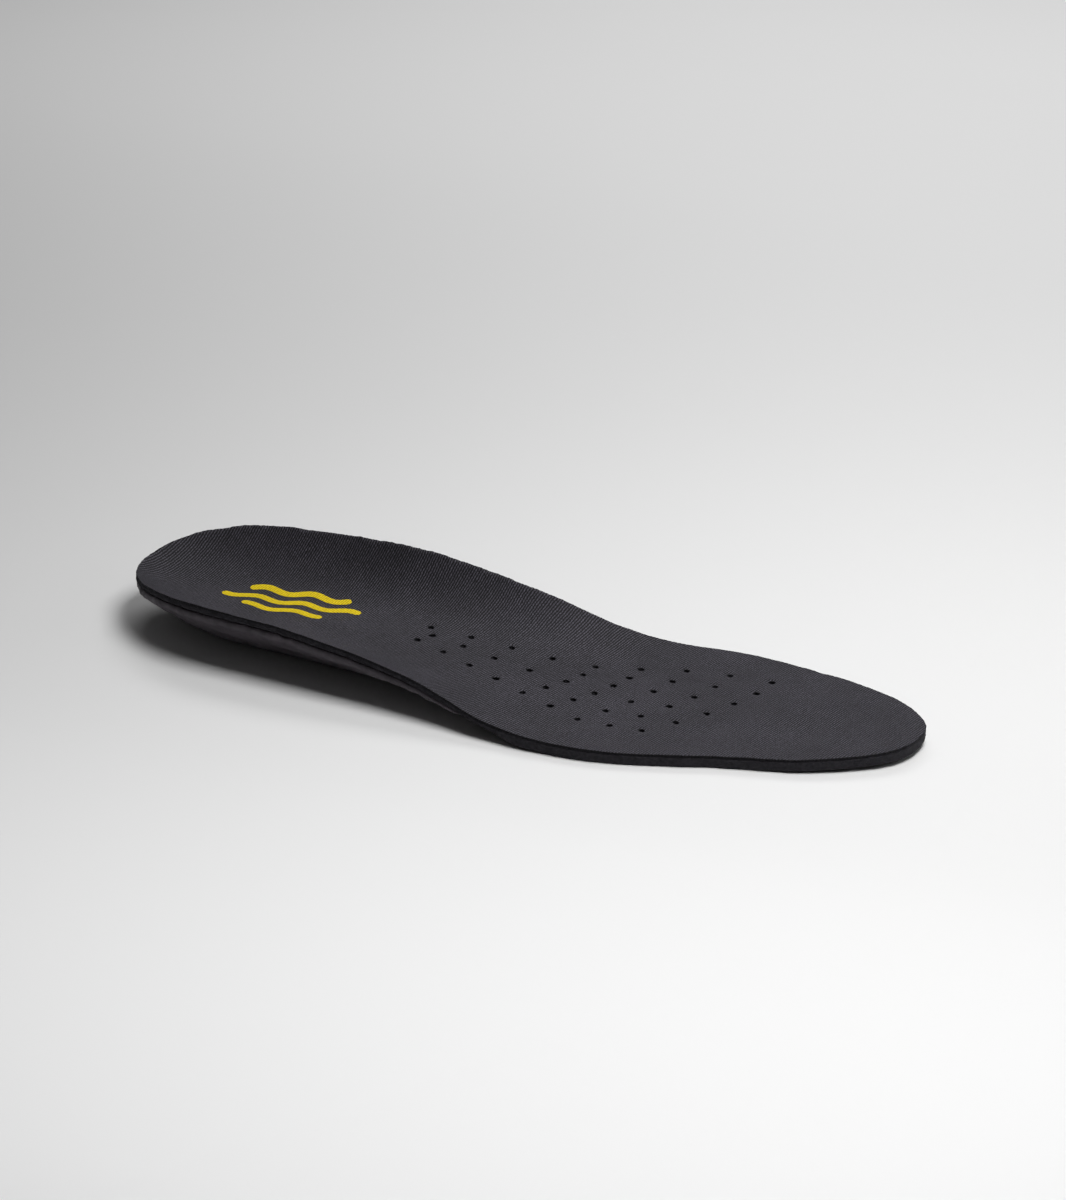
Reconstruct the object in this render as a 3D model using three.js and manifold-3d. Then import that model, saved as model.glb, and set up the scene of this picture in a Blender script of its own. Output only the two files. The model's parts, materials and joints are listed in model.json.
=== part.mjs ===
// Cushioned insole for a right foot, EU size 42 to 43, millimetres.
// +X points to the toe, +Y to the medial (arch) side, +Z up. The origin is on the floor
// under the middle of the outline. From top to bottom: a perforated twill top cloth, a
// perforated foam sheet, and behind the ball of the foot a moulded heel cup with arch
// support, whose underside holds a shock pad. The sheets bend along one oblique line at the
// ball of the foot, so each is made as a rear and a front half on either side of that line.
import * as THREE from 'three';
import * as BufferGeometryUtils from 'three/addons/utils/BufferGeometryUtils.js';
import Module from 'manifold-3d';

const wasm = await Module();
wasm.setup();

// ---- driving dimensions ----

const GAP = 0.3;               // clearance that stands for each film of glue
const CLOTH = 0.8;             // top cloth thickness
const FOAM = 3;                // foam sheet thickness where it lies flat
const FOAM_PRESSED = 2.0;      // how much thinner the foam is pressed along the raised rim
const PRESS_FROM_RISE = 0.1;   // rise of the rim above the sole at which the pressing starts
const PRESS_FULL_RISE = 1.6;   // and at which it is complete
const SOLE = CLOTH + GAP + FOAM;

// Trimmed edge of the insole: x, y and the height of the cloth there, starting at the back
// of the heel and running along the medial side to the toe and back along the lateral side.
const EDGE = [
  [-137.3, 7, 16.5],
  [-136.3, 19, 17.6],
  [-127.8, 31, 20.5],
  [-108, 39.4, 24],
  [-79, 39.6, 25.9],
  [-45, 38.4, 26],
  [-5, 36.8, 19.3],
  [32, 40.7, 7],
  [52, 44, SOLE],
  [72, 44.4, SOLE],
  [100, 38, SOLE + 0.5],
  [124, 27, SOLE + 1.3],
  [136.7, 12, SOLE + 1.7],
  [136.7, 1, SOLE + 1.7],
  [131.4, -10.2, SOLE + 1.5],
  [107.7, -25.4, SOLE + 0.8],
  [79.5, -33, SOLE],
  [57.7, -40.2, SOLE],
  [40, -44.2, SOLE],
  [15, -44, SOLE],
  [-25, -35.6, 14.5],
  [-70, -30, 20.9],
  [-103.8, -24.9, 21.5],
  [-120.6, -16.6, 20.1],
  [-131.4, -5.6, 17.7],
];
const TOE_POINT = 12.5;        // place of the toe tip along that list, in points

// Height of the cloth along the middle of the insole: level under the heel, falling smoothly
// to the flat ball of the foot, and rising a little to the toe tip.
const HEEL_HEIGHT = 9.7;
const FALL_FROM_X = -45;
const FALL_TO_X = 40;
const TOE_SPRING = 1.7;
const SPRING_FROM_X = 80;
const SPRING_TO_X = 137.5;
const SPRING_POWER = 1.5;
const DISH_WIDTH = 31;         // how far in from the edge the raised rim reaches
const DISH_POWER = 2.6;        // how sharply the rim rises near the edge

// Perforations: rows from the arch forward. Each row runs from its medial hole to its lateral
// hole and sweeps back towards the heel on the way.
const HOLE_DIAMETER = 2.3;
const HOLE_SIDES = 8;
const HOLES_IN_ROW = [3, 3, 3, 3, 5, 6, 6, 6, 6];
const FIRST_ROW_X = -32.8;     // x of the rearmost row's medial hole
const ROW_PITCH = 14.35;
const MEDIAL_NARROW = 12.5;    // y of the medial holes under the arch
const MEDIAL_WIDE = 26.5;      // and at the ball of the foot
const WIDEN_FROM_ROW = 3;
const WIDEN_TO_ROW = 7;
const LATERAL_FIRST = 2.2;     // y of the rearmost row's lateral hole
const LATERAL_STEP = 4.4;      // how much further out each next row reaches
const LATERAL_WIDEST_ROW = 6;  // the rows from here on reach equally far
const SWEEP_FIRST = 1.1;       // how far back the rearmost row's lateral hole lies
const SWEEP_STEP = 3.6;        // how much further back it lies in each next row
const SWEEP_POWER = 1.5;       // how late along a row its sweep sets in
const BOWED_ROWS = 2;          // rows under the arch whose middle hole lies forward
const BOW_STEP = 1.4;          // how far forward, for each row still to come before BOWED_ROWS

// The bending line at the ball of the foot crosses y = 0 at FLEX_X.
const FLEX_X = 49.5;
const FLEX_TURN = THREE.MathUtils.degToRad(24);

// Moulded heel cup with arch support.
const CUP_INSET = 0.3;         // the cup's edge lies this far inside the foam's edge
const CUP_FRONT_MEDIAL = 26;   // x of its front edge on the medial side
const CUP_FRONT_LATERAL = -6;  // and on the lateral side
const CUP_FRONT_SPAN = 74;     // width of the insole between those two places
const CUP_FRONT_BOW = 9;       // how far the front edge bows forward in the middle
const CUP_BOW_POWER = 3;       // how late along the cup that bow sets in
const CUP_WALL = 2.3;          // least thickness of its wall
const CUP_LIP = 0.8;           // thickness of its feathered front edge
const CUP_FEATHER = 34;        // length of that taper
const HULL_WIDTH = 27.5;       // its underside curves down to the floor over this width
const HULL_POWER = 2;
const HULL_SUNK = 0.3;         // depth cut off the curve's tip, which leaves a flat strip

// Shock pad let into the underside of the heel cup.
const PAD_X = -88;
const PAD_Y = 5.5;
const PAD_LENGTH = 48;
const PAD_WIDTH = 22;
const PAD_TOP = 2.9;
const PAD_SIDES = 36;

// Raised print on the heel: three waves, centred on x and y.
const WAVES = [
  { name: 'print_wave_1', x: -82, y: 18.2, length: 37 },
  { name: 'print_wave_2', x: -83, y: 12, length: 50 },
  { name: 'print_wave_3', x: -84, y: 5.8, length: 30 },
];
const WAVE_WIDTH = 2.9;
const WAVE_HEIGHT = 1.1;       // the wave's swing to each side
const WAVE_PERIOD = 17;
const WAVE_STEP = 2;
const PRINT = 0.3;             // thickness of the print

// ---- outline ----

const outline = new THREE.CatmullRomCurve3(
  EDGE.map(([x, y, z]) => new THREE.Vector3(x, y, z)),
  true,
  'centripetal',
);
const TOE = TOE_POINT / EDGE.length;

// Point on one side of the outline: along runs from 0 at the heel tip to 1 at the toe tip.
function sidePoint(side, along) {
  const t = side === 'medial' ? TOE * along : 1 - (1 - TOE) * along;
  return outline.getPoint(t % 1);
}

// Evenly spaced steps along one side, by length in plan.
function sideSteps(side, count) {
  const fine = [];
  const FINE = 600;
  for (let i = 0; i <= FINE; i += 1) fine.push(sidePoint(side, i / FINE));
  const run = [0];
  for (let i = 1; i <= FINE; i += 1) {
    run.push(run[i - 1] + Math.hypot(fine[i].x - fine[i - 1].x, fine[i].y - fine[i - 1].y));
  }
  const steps = [];
  let k = 0;
  for (let i = 0; i <= count; i += 1) {
    const target = (run[FINE] * i) / count;
    while (k < FINE - 1 && run[k + 1] < target) k += 1;
    const part = (target - run[k]) / (run[k + 1] - run[k]);
    steps.push(fine[k].clone().lerp(fine[k + 1], part));
  }
  return steps;
}

const RIM_STEPS = 120;
const rim = [...sideSteps('medial', RIM_STEPS), ...sideSteps('lateral', RIM_STEPS).reverse()];

// Distance in from the edge and the rim's height at the nearest edge point.
function nearEdge(x, y) {
  let best = Infinity;
  let height = 0;
  for (let i = 1; i < rim.length; i += 1) {
    const a = rim[i - 1];
    const b = rim[i];
    const run = (b.x - a.x) ** 2 + (b.y - a.y) ** 2;
    const along = run > 0 ? ((x - a.x) * (b.x - a.x) + (y - a.y) * (b.y - a.y)) / run : 0;
    const t = THREE.MathUtils.clamp(along, 0, 1);
    const d = Math.hypot(a.x + (b.x - a.x) * t - x, a.y + (b.y - a.y) * t - y);
    if (d < best) {
      best = d;
      height = a.z + (b.z - a.z) * t;
    }
  }
  return { distance: best, height };
}

// ---- surfaces ----

// Share of the rim's rise at a plan point: 1 on the edge, 0 on the flat floor.
function rimShare(distance) {
  return Math.max(0, 1 - distance / DISH_WIDTH) ** DISH_POWER;
}

function toeRise(x) {
  const part = (x - SPRING_FROM_X) / (SPRING_TO_X - SPRING_FROM_X);
  return TOE_SPRING * Math.max(0, part) ** SPRING_POWER;
}

function clothTop(x, y) {
  const edge = nearEdge(x, y);
  const fall = THREE.MathUtils.smoothstep(x, FALL_FROM_X, FALL_TO_X);
  const floor = HEEL_HEIGHT + (SOLE - HEEL_HEIGHT) * fall + toeRise(x);
  return floor + Math.max(0, edge.height - floor) * rimShare(edge.distance);
}

function foamTop(x, y) {
  return clothTop(x, y) - CLOTH - GAP;
}

function foamBottom(x, y) {
  const edge = nearEdge(x, y);
  const raised = THREE.MathUtils.smoothstep(
    edge.height - SOLE - toeRise(x),
    PRESS_FROM_RISE,
    PRESS_FULL_RISE,
  );
  const pressed = FOAM_PRESSED * rimShare(edge.distance) * raised;
  return Math.max(0, clothTop(x, y) - SOLE + pressed);
}

function cupTop(x, y) {
  return foamBottom(x, y) - GAP * (1 + rimShare(nearEdge(x, y).distance));
}

// Underside of the cup: a rounded hull that meets the floor, thinned toward its front edge.
function cupBottom(x, y, toFront) {
  const edge = nearEdge(x, y);
  const top = cupTop(x, y);
  const seam = Math.max(0, edge.height - SOLE + FOAM_PRESSED);
  const inward = Math.max(0, 1 - edge.distance / HULL_WIDTH);
  const hull = Math.max(0, seam * inward ** HULL_POWER - HULL_SUNK);
  const wall = Math.min(hull, top - CUP_WALL);
  const feather = THREE.MathUtils.smoothstep(toFront, 0, CUP_FEATHER);
  const thick = CUP_LIP + (top - CUP_LIP - Math.max(0, wall)) * feather;
  return Math.max(0, top - thick);
}

// ---- solids ----

function toGeometry(positions, triangles) {
  const geometry = new THREE.BufferGeometry();
  geometry.setAttribute('position', new THREE.Float32BufferAttribute(positions, 3));
  geometry.setIndex(triangles);
  return geometry;
}

function toManifold(geometry) {
  const plain = geometry.clone();
  plain.deleteAttribute('normal');
  plain.deleteAttribute('uv');
  const merged = BufferGeometryUtils.mergeVertices(plain, 1e-4);
  return new wasm.Manifold(new wasm.Mesh({
    numProp: 3,
    vertProperties: new Float32Array(merged.attributes.position.array),
    triVerts: new Uint32Array(merged.index.array),
  }));
}

function fromManifold(solid) {
  const mesh = solid.getMesh();
  return toGeometry(Array.from(mesh.vertProperties), Array.from(mesh.triVerts));
}

// A closed body over a grid of plan points: rows of points from the lateral to the medial
// side, with a single point where the plan closes to a tip.
function slab(rows, topAt, bottomAt) {
  const positions = [];
  const triangles = [];
  const index = { top: [], bottom: [] };
  for (const [skin, height] of [['top', topAt], ['bottom', bottomAt]]) {
    for (const row of rows) {
      const line = [];
      for (const p of row) {
        line.push(positions.length / 3);
        positions.push(p.x, p.y, height(p.x, p.y));
      }
      index[skin].push(line);
    }
  }
  const face = (a, b, c, up) => triangles.push(...(up ? [a, b, c] : [a, c, b]));
  for (const [skin, up] of [['top', true], ['bottom', false]]) {
    const grid = index[skin];
    for (let i = 0; i + 1 < grid.length; i += 1) {
      const near = grid[i];
      const far = grid[i + 1];
      const width = Math.max(near.length, far.length) - 1;
      for (let j = 0; j < width; j += 1) {
        if (near.length === 1) {
          face(near[0], far[j], far[j + 1], up);
        } else if (far.length === 1) {
          face(near[j], far[0], near[j + 1], up);
        } else {
          face(near[j], far[j], far[j + 1], up);
          face(near[j], far[j + 1], near[j + 1], up);
        }
      }
    }
  }
  // Wall around the grid, walked heel to front on the lateral side and back on the medial side.
  const around = (grid) => [
    ...grid.map((line) => line[0]),
    ...grid[grid.length - 1].slice(1),
    ...grid.slice(1, -1).reverse().map((line) => line[line.length - 1]),
    ...grid[0].slice(1).reverse(),
  ];
  const upper = around(index.top);
  const lower = around(index.bottom);
  for (let k = 0; k < upper.length; k += 1) {
    const n = (k + 1) % upper.length;
    triangles.push(upper[k], lower[k], lower[n], upper[k], lower[n], upper[n]);
  }
  return toGeometry(positions, triangles);
}

// Rows of plan points between two edge lines, closer together near the edges.
function crossRows(lateral, medial, across) {
  return lateral.map((from, i) => {
    const to = medial[i];
    if (Math.hypot(to.x - from.x, to.y - from.y) < 1e-6) return [from];
    const row = [];
    for (let j = 0; j <= across; j += 1) {
      const v = (1 - Math.cos((Math.PI * j) / across)) / 2;
      row.push(from.clone().lerp(to, v));
    }
    return row;
  });
}

function box(width, depth, height, x, y, z, turn) {
  const geometry = new THREE.BoxGeometry(width, depth, height);
  geometry.applyMatrix4(new THREE.Matrix4().makeRotationZ(turn).setPosition(x, y, z));
  return geometry;
}

// ---- cloth and foam sheets ----

const SHEET_ROWS = 44;
const SHEET_ACROSS = 14;
const sheetRows = crossRows(
  sideSteps('lateral', SHEET_ROWS),
  sideSteps('medial', SHEET_ROWS),
  SHEET_ACROSS,
);

function holeCentres() {
  const centres = [];
  HOLES_IN_ROW.forEach((count, row) => {
    const widened = THREE.MathUtils.smoothstep(row, WIDEN_FROM_ROW, WIDEN_TO_ROW);
    const medial = THREE.MathUtils.lerp(MEDIAL_NARROW, MEDIAL_WIDE, widened);
    const lateral = LATERAL_FIRST - LATERAL_STEP * Math.min(row, LATERAL_WIDEST_ROW);
    const sweep = SWEEP_FIRST + SWEEP_STEP * row;
    const bow = BOW_STEP * Math.max(0, BOWED_ROWS - row);
    for (let i = 0; i < count; i += 1) {
      const t = i / (count - 1);
      const x = FIRST_ROW_X + ROW_PITCH * row - sweep * t ** SWEEP_POWER + bow * 4 * t * (1 - t);
      centres.push([x, THREE.MathUtils.lerp(medial, lateral, t)]);
    }
  });
  return centres;
}

function holePins() {
  const TALL = 60;
  return holeCentres().map(([x, y]) => {
    const pin = new THREE.CylinderGeometry(HOLE_DIAMETER / 2, HOLE_DIAMETER / 2, TALL, HOLE_SIDES);
    pin.rotateX(Math.PI / 2);
    pin.translate(x, y, 0);
    return toManifold(pin);
  });
}

const pins = wasm.Manifold.union(holePins());

// Half of a sheet, on the heel side (-1) or the toe side (+1) of the bending line.
function halfSpace(side) {
  const REACH = 400;
  const middle = (side * (REACH + GAP)) / 2;
  const x = FLEX_X + middle * Math.cos(FLEX_TURN);
  const y = -middle * Math.sin(FLEX_TURN);
  return toManifold(box(REACH, REACH, REACH, x, y, 0, -FLEX_TURN));
}

function sheetHalf(topAt, bottomAt, side) {
  const sheet = toManifold(slab(sheetRows, topAt, bottomAt)).subtract(pins);
  return fromManifold(sheet.intersect(halfSpace(side)));
}

// ---- heel cup and its pad ----

// Edge line moved inward in plan.
function inset(line, amount, inward) {
  return line.map((p, i) => {
    const a = line[Math.max(0, i - 1)];
    const b = line[Math.min(line.length - 1, i + 1)];
    const length = Math.hypot(b.x - a.x, b.y - a.y);
    const nx = (-(b.y - a.y) / length) * inward;
    const ny = ((b.x - a.x) / length) * inward;
    return new THREE.Vector3(p.x + nx * amount, p.y + ny * amount, p.z);
  });
}

// Edge line from the heel, ended at the given x. Its first two points stay in any case.
function cutAt(line, x) {
  const CLEAR = 1;
  const kept = line.filter((p, i) => i < 2 || p.x < x - CLEAR);
  const last = kept[kept.length - 1];
  const next = line[kept.length];
  kept.push(last.clone().lerp(next, (x - last.x) / (next.x - last.x)));
  return kept;
}

// The same line in evenly spaced steps.
function resample(line, count) {
  const run = [0];
  for (let i = 1; i < line.length; i += 1) run.push(run[i - 1] + line[i].distanceTo(line[i - 1]));
  const steps = [];
  for (let i = 0; i <= count; i += 1) {
    const target = (run[run.length - 1] * i) / count;
    let k = 0;
    while (k < run.length - 2 && run[k + 1] < target) k += 1;
    steps.push(line[k].clone().lerp(line[k + 1], (target - run[k]) / (run[k + 1] - run[k])));
  }
  return steps;
}

// Rows of plan points over the cup, bowed forward at its front edge.
function cupRows(count, across) {
  const FINE = 200;
  const lateral = inset(sideSteps('lateral', FINE), CUP_INSET, 1);
  const medial = inset(sideSteps('medial', FINE), CUP_INSET, -1);
  const tip = lateral[0].clone().add(medial[0]).multiplyScalar(0.5);
  lateral[0] = tip;
  medial[0] = tip;
  const rows = crossRows(
    resample(cutAt(lateral, CUP_FRONT_LATERAL), count),
    resample(cutAt(medial, CUP_FRONT_MEDIAL), count),
    across,
  );
  rows.forEach((row, i) => {
    const forward = (i / count) ** CUP_BOW_POWER;
    row.forEach((p, j) => {
      const v = j / Math.max(1, row.length - 1);
      p.x += CUP_FRONT_BOW * forward * Math.sin(Math.PI * v) ** 2;
    });
  });
  return rows;
}

// Distance back from the cup's straight front line, for the feathered taper.
function behindFront(x, y) {
  const slope = (CUP_FRONT_MEDIAL - CUP_FRONT_LATERAL) / CUP_FRONT_SPAN;
  const front = (CUP_FRONT_MEDIAL + CUP_FRONT_LATERAL) / 2 + slope * y;
  return Math.max(0, front + CUP_FRONT_BOW / 2 - x);
}

function padOutline(grow) {
  const shape = new THREE.Shape();
  shape.absellipse(PAD_X, PAD_Y, PAD_LENGTH / 2 + grow, PAD_WIDTH / 2 + grow, 0, Math.PI * 2);
  return shape;
}

function heelCup() {
  const CUP_ROWS = 30;
  const CUP_ACROSS = 14;
  const BELOW = 5;
  const under = (x, y) => cupBottom(x, y, behindFront(x, y));
  const cup = toManifold(slab(cupRows(CUP_ROWS, CUP_ACROSS), cupTop, under));
  const recess = new THREE.ExtrudeGeometry(padOutline(GAP), {
    depth: PAD_TOP + GAP + BELOW,
    bevelEnabled: false,
    curveSegments: PAD_SIDES / 2,
  });
  recess.translate(0, 0, -BELOW);
  return fromManifold(cup.subtract(toManifold(recess)));
}

function heelPad() {
  const RINGS = 5;
  const ROUND = PAD_SIDES;
  const rows = [[new THREE.Vector3(PAD_X, PAD_Y, 0)]];
  for (let i = 1; i <= RINGS; i += 1) {
    const ring = [];
    for (let j = 0; j < ROUND; j += 1) {
      const a = (j / ROUND) * Math.PI * 2;
      const r = i / RINGS;
      ring.push(new THREE.Vector3(
        PAD_X + (PAD_LENGTH / 2) * r * Math.cos(a),
        PAD_Y + (PAD_WIDTH / 2) * r * Math.sin(a),
        0,
      ));
    }
    rows.push(ring);
  }
  const positions = [];
  const triangles = [];
  const layers = [() => PAD_TOP, (x, y) => cupBottom(x, y, CUP_FEATHER)];
  const start = [0, 0];
  layers.forEach((height, layer) => {
    start[layer] = positions.length / 3;
    rows.flat().forEach((p) => positions.push(p.x, p.y, height(p.x, p.y)));
  });
  const at = (layer, ring, j) => start[layer] + (ring === 0 ? 0 : 1 + (ring - 1) * ROUND + (j % ROUND));
  for (const layer of [0, 1]) {
    const face = (a, b, c) => triangles.push(...(layer === 0 ? [a, b, c] : [a, c, b]));
    for (let j = 0; j < ROUND; j += 1) {
      face(at(layer, 0, 0), at(layer, 1, j), at(layer, 1, j + 1));
      for (let i = 1; i < RINGS; i += 1) {
        face(at(layer, i, j), at(layer, i + 1, j), at(layer, i + 1, j + 1));
        face(at(layer, i, j), at(layer, i + 1, j + 1), at(layer, i, j + 1));
      }
    }
  }
  for (let j = 0; j < ROUND; j += 1) {
    triangles.push(at(0, RINGS, j), at(1, RINGS, j), at(1, RINGS, j + 1));
    triangles.push(at(0, RINGS, j), at(1, RINGS, j + 1), at(0, RINGS, j + 1));
  }
  return toGeometry(positions, triangles);
}

// ---- print ----

function wave({ x, y, length }) {
  const count = Math.round(length / WAVE_STEP);
  const left = [];
  const right = [];
  for (let i = 0; i <= count; i += 1) {
    const along = -length / 2 + (length * i) / count;
    const swing = WAVE_HEIGHT * Math.sin((2 * Math.PI * along) / WAVE_PERIOD);
    right.push(new THREE.Vector3(x + along, y + swing - WAVE_WIDTH / 2, 0));
    left.push(new THREE.Vector3(x + along, y + swing + WAVE_WIDTH / 2, 0));
  }
  const rows = right.map((from, i) => [from, from.clone().lerp(left[i], 0.5), left[i]]);
  const over = (px, py) => clothTop(px, py) + GAP;
  return slab(rows, (px, py) => over(px, py) + PRINT, over);
}

// ---- assembly ----

const BLACK_TWILL = { color: 0x2c2b2e, roughness: 0.85, metalness: 0 };
const BLACK_FOAM = { color: 0x161517, roughness: 0.95, metalness: 0 };
const BLACK_CUP = { color: 0x1b191c, roughness: 0.7, metalness: 0 };
const GREY_PAD = { color: 0x55585c, roughness: 0.5, metalness: 0 };
const YELLOW_PRINT = { color: 0xd8b824, roughness: 0.6, metalness: 0 };

const insole = new THREE.Group();

function add(name, geometry, finish) {
  const mesh = new THREE.Mesh(geometry, new THREE.MeshStandardMaterial(finish));
  mesh.name = name;
  insole.add(mesh);
}

add('cloth_rear', sheetHalf(clothTop, (x, y) => clothTop(x, y) - CLOTH, -1), BLACK_TWILL);
add('cloth_front', sheetHalf(clothTop, (x, y) => clothTop(x, y) - CLOTH, 1), BLACK_TWILL);
add('foam_rear', sheetHalf(foamTop, foamBottom, -1), BLACK_FOAM);
add('foam_front', sheetHalf(foamTop, foamBottom, 1), BLACK_FOAM);
add('heel_cup', heelCup(), BLACK_CUP);
add('heel_pad', heelPad(), GREY_PAD);
WAVES.forEach((place) => add(place.name, wave(place), YELLOW_PRINT));

export default insole;
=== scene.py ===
"""Cushioned insole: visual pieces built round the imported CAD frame."""

import json
import math

import bpy
import numpy as np
from mathutils import Matrix, Vector
from mathutils.geometry import delaunay_2d_cdt
from mathutils.kdtree import KDTree


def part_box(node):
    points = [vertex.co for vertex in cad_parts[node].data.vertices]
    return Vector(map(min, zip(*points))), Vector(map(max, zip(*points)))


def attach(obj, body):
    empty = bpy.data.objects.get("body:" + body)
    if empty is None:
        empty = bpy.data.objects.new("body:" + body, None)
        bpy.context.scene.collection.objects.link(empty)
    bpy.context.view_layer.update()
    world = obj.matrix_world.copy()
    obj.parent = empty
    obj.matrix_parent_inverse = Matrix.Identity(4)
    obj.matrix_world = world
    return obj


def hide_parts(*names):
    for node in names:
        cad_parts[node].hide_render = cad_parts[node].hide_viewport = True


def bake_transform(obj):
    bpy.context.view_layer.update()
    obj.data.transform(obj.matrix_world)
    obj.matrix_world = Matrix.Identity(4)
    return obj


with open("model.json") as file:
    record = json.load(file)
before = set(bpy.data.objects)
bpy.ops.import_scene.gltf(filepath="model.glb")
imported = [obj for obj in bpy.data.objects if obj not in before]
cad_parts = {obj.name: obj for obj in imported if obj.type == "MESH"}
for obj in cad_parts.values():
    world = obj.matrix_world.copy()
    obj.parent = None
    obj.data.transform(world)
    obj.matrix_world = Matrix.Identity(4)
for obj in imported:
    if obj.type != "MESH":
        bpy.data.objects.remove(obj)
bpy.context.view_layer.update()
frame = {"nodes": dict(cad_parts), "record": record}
MM = 0.001                      # geometry is worked out in millimetres


# ---- shapes read from the CAD nodes ----

def cad_mesh(*names):
    """Corner points in mm, triangles and unit normals of CAD nodes, as one mesh."""
    points, faces, count = [], [], 0
    for name in names:
        mesh = frame["nodes"][name].data
        mesh.calc_loop_triangles()
        corners = np.empty(3 * len(mesh.vertices), np.float32)
        mesh.vertices.foreach_get("co", corners)
        triangles = np.empty(3 * len(mesh.loop_triangles), np.int32)
        mesh.loop_triangles.foreach_get("vertices", triangles)
        points.append(corners.reshape(-1, 3).astype(float) / MM)
        faces.append(triangles.reshape(-1, 3) + count)
        count += len(points[-1])
    p, f = np.concatenate(points), np.concatenate(faces)
    n = np.cross(p[f[:, 1]] - p[f[:, 0]], p[f[:, 2]] - p[f[:, 0]])
    return p, f, n / np.maximum(np.linalg.norm(n, axis=1, keepdims=True), 1e-12)


def unique_points(p, faces):
    return np.unique(np.round(p[np.unique(faces)], 3), axis=0)


def common(a, b):
    """Points of a that are also in b."""
    known = {tuple(q) for q in b}
    return np.array([q for q in a if tuple(q) in known])


STEEP = 0.3                     # faces whose normal's z is under this are walls


def skins(p, f, n):
    """The points of the upper faces, the lower faces and the walls."""
    up, down = n[:, 2] > STEEP, n[:, 2] < -STEEP
    return unique_points(p, f[up]), unique_points(p, f[down]), unique_points(p, f[~(up | down)])


def by_angle(points):
    """The points in the order of their direction from the middle of their box, in plan."""
    centre = (points[:, :2].min(0) + points[:, :2].max(0)) / 2
    d = points[:, :2] - centre
    return points[np.argsort(np.arctan2(d[:, 1], d[:, 0]))]


def closed_spline(points, step):
    """Smooth closed line through the points, resampled about every step."""
    n = len(points)
    chord = np.linalg.norm(np.roll(points, -1, 0) - points, axis=1)
    h, h0 = chord, np.roll(chord, 1)
    slope = (np.roll(points, -1, 0) - points) / chord[:, None]
    m = np.zeros((n, n))
    i = np.arange(n)
    m[i, i - 1], m[i, i], m[i, (i + 1) % n] = h0, 2 * (h0 + h), h
    bend = np.linalg.solve(m, 6 * (slope - np.roll(slope, 1, 0)))
    fine = []
    for k in range(n):
        a, b, ca, cb, w = points[k], points[(k + 1) % n], bend[k], bend[(k + 1) % n], chord[k]
        t = np.linspace(0, 1, max(2, round(w / step * 8)), endpoint=False)[:, None]
        fine.append((1 - t) * a + t * b + w * w / 6 * (((1 - t) ** 3 - (1 - t)) * ca + (t ** 3 - t) * cb))
    return resample(np.concatenate(fine), step)


def resample(line, step):
    """A closed line in even steps."""
    ring = np.concatenate([line, line[:1]])
    run = np.concatenate([[0], np.cumsum(np.linalg.norm(np.diff(ring[:, :2], axis=0), axis=1))])
    at = np.linspace(0, run[-1], max(8, round(run[-1] / step)), endpoint=False)
    return np.stack([np.interp(at, run, ring[:, k]) for k in range(line.shape[1])], 1)


def thin_plate(points):
    """Smooth height through scattered points: a thin-plate spline, as a function of x and y."""
    xy, z = points[:, :2] / 100, points[:, 2]
    n = len(xy)

    def kernel(a, b):
        r2 = ((a[:, None] - b[None]) ** 2).sum(-1)
        return 0.5 * r2 * np.log(np.maximum(r2, 1e-18))

    flat = np.concatenate([np.ones((n, 1)), xy], 1)
    system = np.zeros((n + 3, n + 3))
    system[:n, :n] = kernel(xy, xy)
    system[:n, n:] = flat
    system[n:, :n] = flat.T
    weights = np.linalg.solve(system, np.concatenate([z, np.zeros(3)]))

    def height(q):
        q = np.asarray(q, float)[:, :2] / 100
        return np.concatenate([
            kernel(part, xy) @ weights[:n] + weights[n] + part @ weights[n + 1:]
            for part in np.array_split(q, max(1, len(q) // 2000))
        ])

    return height


# The bending line, from the record's joint.
JOINT = frame["record"]["behaviour"]["joints"][0]    # the only one, ball_flex
PIVOT = np.array(JOINT["pos_m"]) / MM
FLEX_NORMAL = np.array([-JOINT["axis"][1], JOINT["axis"][0], 0.0])   # points to the toe


def off_slit(points, clear=0.25):
    """Which points lie away from the bending line, where the CAD sheets are cut in two."""
    return np.abs((points[:, :2] - PIVOT[:2]) @ FLEX_NORMAL[:2]) > clear


CROWDED = 2.4                   # a hole's own edge points are this close together, in mm
MOST_ON_OUTLINE = 3             # the outline has no more points than this within that distance
ONE_HOLE = 2.6                  # no two edge points of one hole are further apart


def outline_and_holes(top, wall):
    """The outer edge of the sheets, and the centre and radius of each perforation."""
    edge = common(top, wall)
    edge = edge[off_slit(edge)]
    near = np.linalg.norm(edge[:, None, :2] - edge[None, :, :2], axis=-1) < CROWDED
    in_hole = near.sum(1) > MOST_ON_OUTLINE
    rest, holes = edge[in_hole], []
    while len(rest):
        mine = np.linalg.norm(rest[:, :2] - rest[0, :2], axis=1) < ONE_HOLE
        q = rest[mine, :2]
        fit = np.linalg.lstsq(np.c_[2 * q, np.ones(len(q))], (q ** 2).sum(1), rcond=None)[0]
        holes.append([fit[0], fit[1], math.sqrt(fit[2] + fit[0] ** 2 + fit[1] ** 2)])
        rest = rest[~mine]
    holes = np.array(holes)
    return by_angle(edge[~in_hole]), holes[np.lexsort((holes[:, 1], np.round(holes[:, 0])))]


def clear_of_holes(points, holes, margin=0.3):
    """Which points lie outside every hole by the margin."""
    d = np.linalg.norm(points[:, None, :2] - holes[None, :, :2], axis=-1)
    return (d > holes[:, 2] + margin).all(1)


cloth_top, _, cloth_wall = skins(*cad_mesh("cloth_rear", "cloth_front"))
_, foam_bottom, _ = skins(*cad_mesh("foam_rear", "foam_front"))
cup_top, cup_bottom, cup_wall = skins(*cad_mesh("heel_cup"))
_, pad_bottom, _ = skins(*cad_mesh("heel_pad"))

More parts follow.
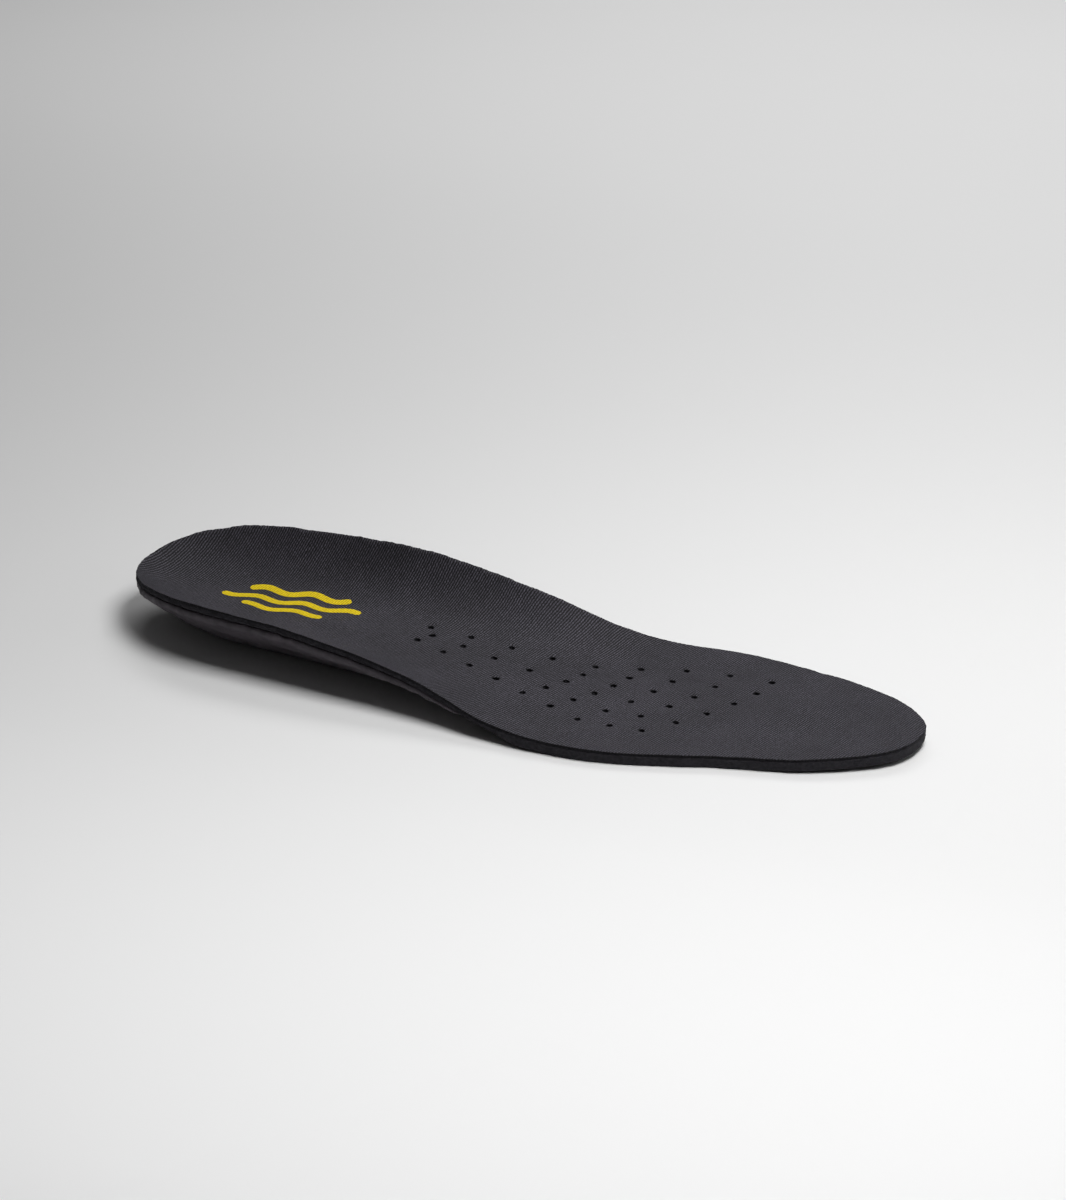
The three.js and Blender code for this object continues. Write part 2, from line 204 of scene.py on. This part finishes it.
EDGE, HOLES = outline_and_holes(cloth_top, cloth_wall)


def smooth_height(points):
    """Height of a sheet's face without its holes and its cut."""
    keep = off_slit(points) & clear_of_holes(points, HOLES)
    return thin_plate(points[keep])


cloth_height = smooth_height(cloth_top)
foam_under = smooth_height(foam_bottom)
CLOTH = 0.8                     # thickness of the top cloth
FILM = 0.02                     # what is left between layers that are glued together

PAD_LOW, PAD_HIGH = (np.array(c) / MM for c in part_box("heel_pad"))
PAD_CENTRE, PAD_HALF = (PAD_LOW + PAD_HIGH) / 2, (PAD_HIGH - PAD_LOW) / 2


def pad_reach(xy):
    """Distance from the pad's middle as a share of its outline: 1 on the edge."""
    return np.hypot((xy[:, 0] - PAD_CENTRE[0]) / PAD_HALF[0], (xy[:, 1] - PAD_CENTRE[1]) / PAD_HALF[1])


RECESS = 1.015                  # size of the recess in the cup, as a share of the pad
BEYOND_RECESS = 1.06            # the CAD cup's points from here out lie on its hull

cup_edge = by_angle(common(cup_top, cup_wall))
hull_points = np.concatenate([cup_bottom[pad_reach(cup_bottom) > BEYOND_RECESS], pad_bottom])
cup_under = thin_plate(hull_points)


# ---- mesh tools ----

def ragged(loop, size, depth, seed, waves=26):
    """Uneven offset along a closed line: waves about size long and depth high, in mm."""
    step = np.linalg.norm(np.roll(loop[:, :2], -1, 0) - loop[:, :2], axis=1)
    along, total = np.concatenate([[0], np.cumsum(step)[:-1]]), step.sum()
    rng = np.random.default_rng(seed)
    turns = np.maximum(1, np.round(total / (size * rng.uniform(0.6, 1.9, waves))))
    phase = rng.uniform(0, 2 * np.pi, waves)
    return depth * math.sqrt(2 / waves) * np.sin(2 * np.pi * np.outer(along / total, turns) + phase).sum(1)


def rolling(xy, size, depth, seed, waves=14):
    """Gentle unevenness over the plan: waves about size across and depth high, in mm."""
    rng = np.random.default_rng(seed)
    turn, phase = rng.uniform(0, 2 * np.pi, (2, waves))
    pitch = 2 * np.pi / (size * rng.uniform(0.7, 1.8, waves))
    along = np.outer(xy[:, 0], np.cos(turn) * pitch) + np.outer(xy[:, 1], np.sin(turn) * pitch)
    return depth * math.sqrt(2 / waves) * np.sin(along + phase).sum(1)


def outward(loop):
    """Unit normals of a closed line, on its right-hand side."""
    d = np.roll(loop[:, :2], -1, 0) - np.roll(loop[:, :2], 1, 0)
    return np.stack([d[:, 1], -d[:, 0]], 1) / np.linalg.norm(d, axis=1)[:, None]


def moved(loop, amount):
    """A closed line moved along its normals."""
    out = loop[:, :2] + outward(loop) * np.reshape(amount, (-1, 1))
    return np.concatenate([out, loop[:, 2:]], 1)


def inside(points, loop):
    """Even-odd test of plan points against a closed line."""
    ax, ay = loop[:, 0], loop[:, 1]
    bx, by = np.roll(ax, -1), np.roll(ay, -1)
    found = []
    for part in np.array_split(points, max(1, len(points) // 4000)):
        x, y = part[:, :1], part[:, 1:2]
        crosses = (ay > y) != (by > y)
        at = ax + (y - ay) / np.where(by == ay, 1e-9, by - ay) * (bx - ax)
        found.append((crosses & (x < at)).sum(1) % 2 == 1)
    return np.concatenate(found)


def lattice(outline, spacing):
    """Triangular grid of plan points inside a line."""
    low, high = outline[:, :2].min(0), outline[:, :2].max(0)
    rows = np.arange(low[1], high[1], spacing * math.sqrt(3) / 2)
    cols = np.arange(low[0], high[0], spacing)
    grid = [np.stack([cols + (i % 2) * spacing / 2, np.full(len(cols), y)], 1) for i, y in enumerate(rows)]
    grid = np.concatenate(grid)
    return grid[inside(grid, outline)]


def ring(centre, radius, count, lobes=0.0, seed=0):
    """Closed line round a hole, with the material on its left, so it runs clockwise."""
    turn = -np.linspace(0, 2 * np.pi, count, endpoint=False)
    rng = np.random.default_rng(seed)
    wave = sum(rng.normal() * np.cos(k * turn + rng.uniform(0, 6.3)) / math.sqrt(k) for k in (2, 3, 4, 5, 7))
    reach = radius * (1 + lobes * wave)
    return np.stack([centre[0] + reach * np.cos(turn), centre[1] + reach * np.sin(turn)], 1)


FROM_LOOPS, FROM_EXTRA = 0.45, 0.6    # how clear grid points stay of other points, in spacings


def triangulate(loops, extra, spacing):
    """Delaunay triangles between plan loops. The loops' points come first, in order."""
    fixed = np.concatenate(loops)
    tree = KDTree(len(fixed))
    for i, (x, y) in enumerate(fixed):
        tree.insert((x, y, 0), i)
    tree.balance()
    free = lattice(loops[0], spacing)
    if len(extra):
        own = KDTree(len(extra))
        for i, (x, y) in enumerate(extra):
            own.insert((x, y, 0), i)
        own.balance()
        free = free[[own.find((x, y, 0))[2] > spacing * FROM_EXTRA for x, y in free]]
        free = np.concatenate([extra, free])
    free = free[[tree.find((x, y, 0))[2] > spacing * FROM_LOOPS for x, y in free]]
    for hole in loops[1:]:
        near = np.linalg.norm(free - hole.mean(0), axis=1) < np.ptp(hole, axis=0).max()
        near[near] = inside(free[near], hole)
        free = free[~near]
    xy = np.concatenate([fixed, free])
    lines, start = [], 0
    for loop in loops:
        n = len(loop)
        lines += [(start + i, start + (i + 1) % n) for i in range(n)]
        start += n
    found = delaunay_2d_cdt([Vector(q) for q in xy], lines, [], 0, 1e-7)
    assert len(found[0]) == len(xy), "the plan loops cross"
    tri = np.array(found[2])
    outer = (tri < len(fixed)).all(1)
    middle = xy[tri[outer]].mean(1)
    keep = inside(middle, loops[0])
    for hole in loops[1:]:
        near = np.linalg.norm(middle - hole.mean(0), axis=1) < np.ptp(hole, axis=0).max()
        near[near] = inside(middle[near], hole)
        keep &= ~near
    good = np.ones(len(tri), bool)
    good[np.flatnonzero(outer)[~keep]] = False
    tri = tri[good]
    a, b, c = xy[tri[:, 0]], xy[tri[:, 1]], xy[tri[:, 2]]
    turned = (b[:, 0] - a[:, 0]) * (c[:, 1] - a[:, 1]) - (b[:, 1] - a[:, 1]) * (c[:, 0] - a[:, 0]) < 0
    tri[turned] = tri[turned][:, ::-1]
    return xy, tri


def rounded(radius, thick, middle=0):
    """Wall profile with rounded corners: how far out, and how far down as a share of thick."""
    corner = [(-radius + radius * math.sin(a), radius * (1 - math.cos(a)) / thick)
              for a in np.radians([0, 32, 61, 90])]
    flat = np.linspace(corner[-1][1], 1 - corner[-1][1], middle + 2)[1:-1]
    return corner + [(0.0, d) for d in flat] + [(o, 1 - d) for o, d in reversed(corner)]


def make_mesh(name, points, faces, **facts):
    """A smooth-shaded piece from points in mm. Materials read its facts and its plan."""
    mesh = bpy.data.meshes.new(name)
    mesh.from_pydata((points * MM).tolist(), [], faces)
    for key, values in {"plan": points, **facts}.items():
        kind, part = ("FLOAT_VECTOR", "vector") if np.ndim(values) == 2 else ("FLOAT", "value")
        field = mesh.attributes.new(key, kind, "POINT")
        field.data.foreach_set(part, np.ravel(values).astype(np.float32))
    mesh.shade_smooth()
    piece = bpy.data.objects.new(name, mesh)
    bpy.context.scene.collection.objects.link(piece)
    return piece


def slab(name, loops, over, under, profile, spacing, rough=0.0, extra=(), seed=0):
    """A closed sheet between two heights, walled along its plan loops with the profile."""
    xy, tri = triangulate([moved(loop, profile[0][0])[:, :2] for loop in loops], extra, spacing)
    top, bottom = over(xy), under(xy)
    count = len(xy)
    points = [np.c_[xy, top], np.c_[xy, bottom]]
    faces = tri.tolist() + (tri[:, ::-1] + count).tolist()
    cut = [np.zeros(count), np.zeros(count)]
    total, start = 2 * count, 0
    for loop in loops:
        n = len(loop)
        upper = list(range(start, start + n))
        last = list(range(count + start, count + start + n))
        z0, z1 = top[start:start + n], bottom[start:start + n]
        for k, (out, down) in enumerate(profile[1:-1]):
            weight = math.sin(math.pi * min(1, max(0, down)))
            jag = ragged(loop, 1.6, rough * weight, seed + k)
            jag += ragged(loop, 0.7, rough * 0.5 * weight, seed + 50 + k)
            drop = down * (z1 - z0) + ragged(loop, 2.4, rough * 0.5 * weight, seed + 90 + k)
            points.append(np.c_[moved(loop, out + jag)[:, :2], z0 + drop])
            cut.append(np.full(n, min(1.0, 4 * weight)))
            lower = list(range(total, total + n))
            faces += [(upper[i], lower[i], lower[(i + 1) % n], upper[(i + 1) % n]) for i in range(n)]
            upper, total = lower, total + n
        faces += [(upper[i], last[i], last[(i + 1) % n], upper[(i + 1) % n]) for i in range(n)]
        start += n
    return make_mesh(name, np.concatenate(points), faces, cut=np.concatenate(cut))


# ---- the pieces ----

CUT_WAVES = ((14, 1.0), (3.1, 0.5), (1.1, 0.4))    # lengths in mm and shares of the wander
NICK_X = HOLES[:, 0].max() + 13.5    # a small nick in the arch side's edge, ahead of the holes
NICK_DEPTH, NICK_WIDTH = 0.45, 2.4
SMALLEST_HOLE = 0.86            # the least open hole's size, as a share of a fully open one
HOLE_POINTS = 24


def plan_loops(edge, wander, hole_radius=0.0, lobes=0.0, seed=0, step=0.8):
    """The trimmed outline, cut a little unevenly, and the punched holes."""
    outline = closed_spline(edge, step)
    outline = moved(outline, sum(ragged(outline, size, wander * share, seed + k)
                                 for k, (size, share) in enumerate(CUT_WAVES)))
    nick = np.exp(-((outline[:, 0] - NICK_X) / NICK_WIDTH) ** 2) * (outline[:, 1] > 0)
    loops = [moved(outline, -NICK_DEPTH * nick)]
    if hole_radius:
        open_share = np.random.default_rng(seed + 9).uniform(SMALLEST_HOLE, 1.0, len(HOLES))
        for i, hole in enumerate(HOLES):
            loops.append(ring(hole, hole_radius * open_share[i], HOLE_POINTS, lobes, seed + 10 + i))
    return loops


def round_holes(reaches):
    """Extra plan points in rings round every hole."""
    return np.concatenate([ring(h, r, max(16, round(8 * r))) for h in HOLES for r in reaches])


HOLE = float(HOLES[:, 2].max())      # radius of the CAD's holes


def hole_dip(xy, depth, width):
    """The cloth is drawn down where the punch went through it."""
    d = np.linalg.norm(xy[:, None, :] - HOLES[None, :, :2], axis=-1).min(1)
    return depth * np.exp(-(np.maximum(0, d - HOLE) / width) ** 2)


def pillow(xy):
    """Slight unevenness that the soft foam gives the cloth."""
    return rolling(xy, size=24, depth=0.07, seed=5) + rolling(xy, size=9, depth=0.025, seed=6)


def cloth_over(xy):
    return cloth_height(xy) + pillow(xy) - hole_dip(xy, depth=0.28, width=0.75)


def cloth_under(xy):
    return cloth_height(xy) - CLOTH


def foam_over(xy):
    return cloth_height(xy) - CLOTH - FILM


def foam_floor(xy):
    return np.maximum(0, foam_under(xy))


def cup_seat(xy):
    return foam_floor(xy) - FILM


PAD_TOP = PAD_HIGH[2]
LUMPY_FROM = 5                  # height above the floor where the hull's lumps are at their full size
RECESS_ROOF = 0.8               # least thickness of the cup over the pad


def hull(xy):
    """Underside of the cup, with the recess of the shock pad."""
    low = cup_under(xy)
    lumps = rolling(xy, size=7, depth=0.16, seed=41) + rolling(xy, size=3, depth=0.04, seed=42)
    low = np.maximum(0, low + np.clip(low / LUMPY_FROM, 0, 1) * lumps)
    recess = np.minimum(PAD_TOP + FILM, cup_seat(xy) - RECESS_ROOF)
    return np.where(pad_reach(xy) < RECESS, recess, low)


def pad_over(xy):
    return np.full(len(xy), PAD_TOP)


def pad_under(xy):
    return np.maximum(0.0, cup_under(xy))


def pad_ring(share, count=150):
    """Closed line round the pad, at a share of its size."""
    turn = np.linspace(0, 2 * np.pi, count, endpoint=False)
    return np.stack([PAD_CENTRE[0] + PAD_HALF[0] * share * np.cos(turn),
                     PAD_CENTRE[1] + PAD_HALF[1] * share * np.sin(turn)], 1)


top_cloth = slab(
    "top_cloth", plan_loops(EDGE, wander=0.055, hole_radius=HOLE * 0.95, lobes=0.10, seed=1, step=0.55),
    cloth_over, cloth_under, rounded(radius=0.3, thick=CLOTH, middle=1),
    spacing=0.85, rough=0.05, extra=round_holes([2.1, 3.0]), seed=100)
foam_sheet = slab(
    "foam_sheet", plan_loops(EDGE, wander=0.055, hole_radius=HOLE, lobes=0.05, seed=1, step=0.7),
    foam_over, foam_floor, rounded(radius=0.2, thick=2.4, middle=4),
    spacing=1.5, rough=0.10, seed=200)
cup_line = plan_loops(cup_edge, wander=0.12, seed=31, step=0.9)[0]
cup_line = moved(cup_line, 0.1 + ragged(cup_line, size=6.5, depth=0.11, seed=37))
cup_shell = slab(
    "cup_shell", [cup_line], cup_seat, hull, rounded(radius=0.78, thick=1.7),
    spacing=1.15, rough=0.05, extra=np.concatenate([pad_ring(1.0), pad_ring(1.03)]), seed=300)
shock_pad = slab(
    "shock_pad", [pad_ring(0.985)], pad_over, pad_under, rounded(radius=0.35, thick=2.6, middle=2),
    spacing=0.8)


# ---- materials ----

class Surface:
    """A Principled material and short names for the nodes that feed it."""

    def __init__(self, name, **constants):
        self.material = bpy.data.materials.new(name)
        self.material.use_nodes = True
        self.tree = self.material.node_tree
        self.shader = self.tree.nodes["Principled BSDF"]
        for key, value in constants.items():
            self.socket(key).default_value = value

    def socket(self, key):
        return self.shader.inputs[key.replace("_", " ").title().replace("Ior", "IOR")]

    def node(self, kind, inputs=(), output=0, **settings):
        made = self.tree.nodes.new("ShaderNode" + kind)
        for key, value in settings.items():
            setattr(made, key, value)
        for key, value in dict(inputs).items():
            socket = made.inputs[key]
            if isinstance(value, bpy.types.NodeSocket):
                self.tree.links.new(value, socket)
            else:
                socket.default_value = value
        return made.outputs[output]

    def math(self, operation, a, b=0.0, c=0.0):
        return self.node("Math", {0: a, 1: b, 2: c}, operation=operation)

    def place(self):
        """Where a point lies on the unbent object, in mm."""
        return self.node("Attribute", output="Vector", attribute_name="plan")

    def fact(self, name):
        return self.node("Attribute", output="Fac", attribute_name=name)

    def noise(self, vector, scale, detail=2.0, roughness=0.5, output="Fac"):
        inputs = {"Vector": vector, "Scale": scale, "Detail": detail, "Roughness": roughness}
        return self.node("TexNoise", inputs, output)

    def ramp(self, value, stops, smoothing="LINEAR"):
        made = self.tree.nodes.new("ShaderNodeValToRGB")
        made.color_ramp.interpolation = smoothing
        self.tree.links.new(value, made.inputs[0])
        marks = made.color_ramp.elements
        while len(marks) < len(stops):
            marks.new(1.0)
        for mark, (at, colour) in zip(marks, stops):
            mark.position, mark.color = at, (*colour, 1)
        return made.outputs[0]

    def mix(self, share, a, b, blend="MIX"):
        made = self.tree.nodes.new("ShaderNodeMix")
        made.data_type, made.blend_type = "RGBA", blend
        for index, value in ((0, share), (6, a), (7, b)):
            if isinstance(value, bpy.types.NodeSocket):
                self.tree.links.new(value, made.inputs[index])
            else:
                made.inputs[index].default_value = value if index == 0 else (*value, 1)
        return made.outputs[2]

    def bump(self, height, depth, strength):
        """A bumped normal. The depth is in mm."""
        return self.node("Bump", {"Height": height, "Distance": depth * MM, "Strength": strength})

    def finish(self, **links):
        for key, value in links.items():
            self.tree.links.new(value, self.socket(key))
        return self.material


TWILL_PITCH, TWILL_TURN = 0.84, -19      # of the slanting wales, in mm and degrees
CROSS_PITCH, CROSS_TURN = 0.95, 55.5     # of the floats along each wale


def wave_of(s, vector, pitch, turn):
    """Straight wave over the plan, 0 to 1: its pitch in mm and the direction it runs in."""
    k = 2 * math.pi / pitch
    a = math.radians(turn)
    phase = s.node("VectorMath", {0: vector, 1: (k * math.cos(a), k * math.sin(a), 0)}, "Value",
                   operation="DOT_PRODUCT")
    return s.math("MULTIPLY_ADD", s.math("SINE", phase), 0.5, 0.5)


def drifted(s, place, vector, scale, detail, reach):
    """The vector, wandering in plan by up to half the reach either way."""
    drift = s.noise(place, scale, detail, output="Color")
    drift = s.node("VectorMath", {0: drift, 1: (0.5, 0.5, 0.5)}, operation="SUBTRACT")
    inputs = {0: drift, 1: (reach, reach, 0), 2: vector}
    return s.node("VectorMath", inputs, operation="MULTIPLY_ADD")


def twill_height(s, place):
    """Height of the twill, 0 to 1: slanting wales, each a row of short floats."""
    uneven = drifted(s, place, place, scale=0.05, detail=1.0, reach=1.6)
    uneven = drifted(s, place, uneven, scale=0.7, detail=2.0, reach=0.5)
    wale = wave_of(s, uneven, TWILL_PITCH, TWILL_TURN)
    stitch = wave_of(s, uneven, CROSS_PITCH, CROSS_TURN)
    body = s.math("MULTIPLY_ADD", stitch, 0.36, 0.64)
    return s.math("MULTIPLY", wale, body)


def twill():
    s = Surface("twill", roughness=0.65, sheen_weight=0.06, sheen_roughness=0.4,
                sheen_tint=(0.80, 0.76, 0.92, 1), specular_ior_level=0.12)
    place = s.place()
    height = twill_height(s, place)
    fibre = s.noise(place, 1.7, 5.0, 0.75)
    cloud = s.noise(place, 0.035, 3.0, 0.55)
    colour = s.ramp(height, [(0.0, (0.0026, 0.0024, 0.003)), (0.3, (0.0125, 0.0117, 0.0138)),
                             (1.0, (0.063, 0.0595, 0.071))])
    grain = s.ramp(fibre, [(0.34, (0.3, 0.3, 0.3)), (0.66, (1.7, 1.7, 1.75))])
    colour = s.mix(1.0, colour, grain, "MULTIPLY")
    shade = s.ramp(cloud, [(0.3, (0.82, 0.82, 0.82)), (0.7, (1.15, 1.14, 1.16))])
    colour = s.mix(1.0, colour, shade, "MULTIPLY")
    colour = s.mix(s.fact("cut"), colour, (0.006, 0.0055, 0.007))
    lift = s.math("MULTIPLY_ADD", fibre, 0.5, height)
    return s.finish(base_color=colour, normal=s.bump(lift, 0.12, 1.0))


def foam():
    s = Surface("foam", roughness=0.92, specular_ior_level=0.25)
    place = s.place()
    cells = s.node("TexVoronoi", {"Vector": place, "Scale": 2.6}, "Distance")
    lumps = s.noise(place, 0.9, 3.0, 0.6)
    colour = s.ramp(lumps, [(0.3, (0.014, 0.0133, 0.0162)), (0.7, (0.031, 0.0292, 0.0345))])
    lift = s.math("MULTIPLY_ADD", lumps, 0.7, cells)
    return s.finish(base_color=colour, normal=s.bump(lift, 0.14, 0.8))


def cup():
    s = Surface("cup", roughness=0.62, specular_ior_level=0.4)
    place = s.place()
    grain = s.noise(place, 3.2, 4.0, 0.6)
    lumps = s.noise(place, 0.22, 4.0, 0.6)
    colour = s.ramp(lumps, [(0.3, (0.036, 0.031, 0.038)), (0.7, (0.068, 0.057, 0.068))])
    rough = s.math("MULTIPLY_ADD", grain, 0.25, 0.5)
    lift = s.math("MULTIPLY_ADD", grain, 0.25, lumps)
    return s.finish(base_color=colour, roughness=rough, normal=s.bump(lift, 0.35, 0.6))


def pad():
    s = Surface("pad", roughness=0.4, specular_ior_level=0.5)
    place = s.place()
    mottle = s.noise(place, 0.5, 3.0, 0.5)
    colour = s.ramp(mottle, [(0.3, (0.075, 0.080, 0.086)), (0.7, (0.105, 0.110, 0.116))])
    return s.finish(base_color=colour, roughness=s.math("MULTIPLY_ADD", mottle, 0.2, 0.3))


def print_ink():
    s = Surface("print", roughness=0.7, specular_ior_level=0.1)
    place = s.place()
    height = twill_height(s, place)
    patch = s.noise(place, 1.3, 3.0, 0.6)
    colour = s.ramp(patch, [(0.3, (0.50, 0.365, 0.004)), (0.7, (0.70, 0.53, 0.007))])
    sunk = s.ramp(height, [(0.05, (0.75, 0.75, 0.75)), (0.3, (0, 0, 0))])
    colour = s.mix(sunk, colour, (0.20, 0.14, 0.006))
    return s.finish(base_color=colour, normal=s.bump(height, 0.05, 0.7))


for piece, material, slot in (
        (top_cloth, twill(), "twill"), (foam_sheet, foam(), "foam"),
        (cup_shell, cup(), "cup"), (shock_pad, pad(), "pad")):
    piece.data.materials.append(material)


# ---- print ----

WAVE_PERIOD, WAVE_SWING, WAVE_WIDTH = 17.0, 1.1, 2.9
INK = 0.05                      # thickness of the printed film
INK_LIFT = 0.01                 # and its height above the cloth


def wave_loop(low, high, step=0.5):
    """Outline of one printed wave with rounded ends, from its CAD node's box."""
    middle = (low + high) / 2
    half, half_width = (high[0] - low[0]) / 2, WAVE_WIDTH / 2
    run = np.linspace(half_width - half, half - half_width, max(8, round(2 * half / step)))
    line = np.stack([middle[0] + run, middle[1] + WAVE_SWING * np.sin(2 * np.pi * run / WAVE_PERIOD)], 1)
    d = np.gradient(line, axis=0)
    side = np.stack([-d[:, 1], d[:, 0]], 1) / np.linalg.norm(d, axis=1)[:, None] * half_width
    loop = [line - side]
    for end, sign in ((-1, 1), (0, -1)):
        a = np.linspace(0, np.pi, 9)[1:-1, None]
        along = np.array([side[end][1], -side[end][0]]) * sign
        loop.append(line[end] - sign * np.cos(a) * side[end] + np.sin(a) * along)
        if end == -1:
            loop.append((line + side)[::-1])
    return resample(np.concatenate(loop), step)


def ink_under(xy):
    return cloth_over(xy) + INK_LIFT


def ink_over(xy):
    return cloth_over(xy) + INK_LIFT + INK


ink = print_ink()
for number in (1, 2, 3):
    node = f"print_wave_{number}"
    loop = wave_loop(*(np.array(c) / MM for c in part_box(node)))
    loop = moved(loop, ragged(loop, size=1.2, depth=0.04, seed=number))
    mark = slab(f"print_mark_{number}", [loop], ink_over, ink_under,
                rounded(radius=0.02, thick=INK), spacing=0.7)
    mark.data.materials.append(ink)
    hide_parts(node)
    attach(mark, "rearfoot")


# ---- what moves with what ----

for piece, layer in ((top_cloth, "cloth"), (foam_sheet, "foam")):
    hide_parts(layer + "_rear", layer + "_front")
    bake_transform(piece)
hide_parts("heel_cup")
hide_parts("heel_pad")
for piece in (cup_shell, shock_pad):
    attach(piece, "rearfoot")

cut = closed_spline(EDGE, 1.0)


# ---- floor, light and camera ----

# Painted light on the backdrop: its grey from the front of the floor to the back stands in for how the light
# falls off; y in metres and its grey.
PAINTED_FALLOFF = [(-0.30, 0.86), (-0.10, 0.64), (0.05, 0.57), (0.30, 0.60), (0.55, 0.70), (0.85, 0.74)]
PAINTED_LEAN = 0.5                      # painted light: paler by this much per metre to the right and metre back
DARKEST, PALEST = 0.45, 0.92    # limits of the floor's grey
FLOOR_REACH = 6.0               # from its middle to each side, in metres
FLOOR_DROP = 0.00005            # the floor lies this far under the object


def floor():
    mesh = bpy.data.meshes.new("floor")
    corners = [(x * FLOOR_REACH, y * FLOOR_REACH, -FLOOR_DROP)
               for x, y in ((-1, -1), (1, -1), (1, 1), (-1, 1))]
    mesh.from_pydata(corners, [], [(0, 1, 2, 3)])
    plane = bpy.data.objects.new("floor", mesh)
    bpy.context.scene.collection.objects.link(plane)
    s = Surface("floor", roughness=0.7, specular_ior_level=0.2)
    where = s.node("TexCoord", output="Object")
    axes = s.node("SeparateXYZ", {0: where}, "X").node
    x, y = axes.outputs["X"], axes.outputs["Y"]
    front, reach_back = PAINTED_FALLOFF[0][0], PAINTED_FALLOFF[-1][0] - PAINTED_FALLOFF[0][0]
    depth = s.math("DIVIDE", s.math("SUBTRACT", y, front), reach_back)
    # Painted light: the ramp and the lean to the right paint the lamps' falloff into the floor's grey.
    shade = s.ramp(depth, [((at - front) / reach_back, (grey,) * 3) for at, grey in PAINTED_FALLOFF], "CARDINAL")
    behind = s.math("MINIMUM", s.math("MAXIMUM", y, 0.0), PAINTED_FALLOFF[-1][0])
    grey = s.math("MULTIPLY_ADD", s.math("MULTIPLY", x, behind), PAINTED_LEAN, shade)
    grey = s.math("MINIMUM", s.math("MAXIMUM", grey, DARKEST), PALEST)
    colour = s.node("CombineColor", {"Red": grey, "Green": grey, "Blue": grey}, "Color")
    mesh.materials.append(s.finish(base_color=colour))


def soft_box(name, place, aim, size, power, spread=180):
    """An area light, in metres, watts and degrees."""
    light = bpy.data.lights.new(name, "AREA")
    light.shape, light.size, light.size_y = "RECTANGLE", *size
    light.energy, light.spread = power, math.radians(spread)
    box = bpy.data.objects.new(name, light)
    box.location = place
    box.rotation_mode = "QUATERNION"
    box.rotation_quaternion = (Vector(aim) - Vector(place)).to_track_quat("-Z", "Y")
    bpy.context.scene.collection.objects.link(box)


floor()
soft_box("top", place=(0.24, 0.0, 0.66), aim=(0.12, 0, 0), size=(0.36, 0.36), power=2.85, spread=125)
soft_box("back", place=(0.75, 0.95, 0.50), aim=(0.03, 0, 0), size=(1.0, 0.4), power=0.3)
soft_box("side", place=(0.58, 0.02, 0.34), aim=(0.04, 0, 0), size=(0.26, 0.26), power=0.3)
soft_box("sky", place=(-0.25, 0.95, 0.9), aim=(-0.25, 0.96, 0), size=(1.0, 0.6), power=9.0)
WORLD = 0.085                   # strength of the even light from all round
world = bpy.data.worlds.new("studio")
world.use_nodes = True
world.node_tree.nodes["Background"].inputs["Color"].default_value = (1, 1, 1, 1)
world.node_tree.nodes["Background"].inputs["Strength"].default_value = WORLD
bpy.context.scene.world = world

# The camera looks at AIM from DISTANCE metres away. Angles are in degrees, LENS in millimetres.
AZIMUTH, ELEVATION, ROLL = (math.radians(a) for a in (17.333, 24.257, 2.274))
DISTANCE, AIM, LENS = 1.15, Vector((-0.0147, 0.0680, -0.0005)), 98.68
back = Vector((math.sin(AZIMUTH) * math.cos(ELEVATION), -math.cos(AZIMUTH) * math.cos(ELEVATION),
               math.sin(ELEVATION)))
level = Vector((math.cos(AZIMUTH), math.sin(AZIMUTH), 0))
upright = back.cross(level)
right = level * math.cos(ROLL) + upright * math.sin(ROLL)
upward = upright * math.cos(ROLL) - level * math.sin(ROLL)
camera = bpy.data.objects.new("camera", bpy.data.cameras.new("camera"))
camera.data.lens, camera.data.sensor_width = LENS, 36
camera.data.clip_start, camera.data.clip_end = 0.05, 50
turned = Matrix((right, upward, back)).transposed().to_4x4()
camera.matrix_world = Matrix.Translation(AIM + back * DISTANCE) @ turned
bpy.context.scene.collection.objects.link(camera)
bpy.context.scene.camera = camera
bpy.context.scene.view_settings.view_transform = "Standard"
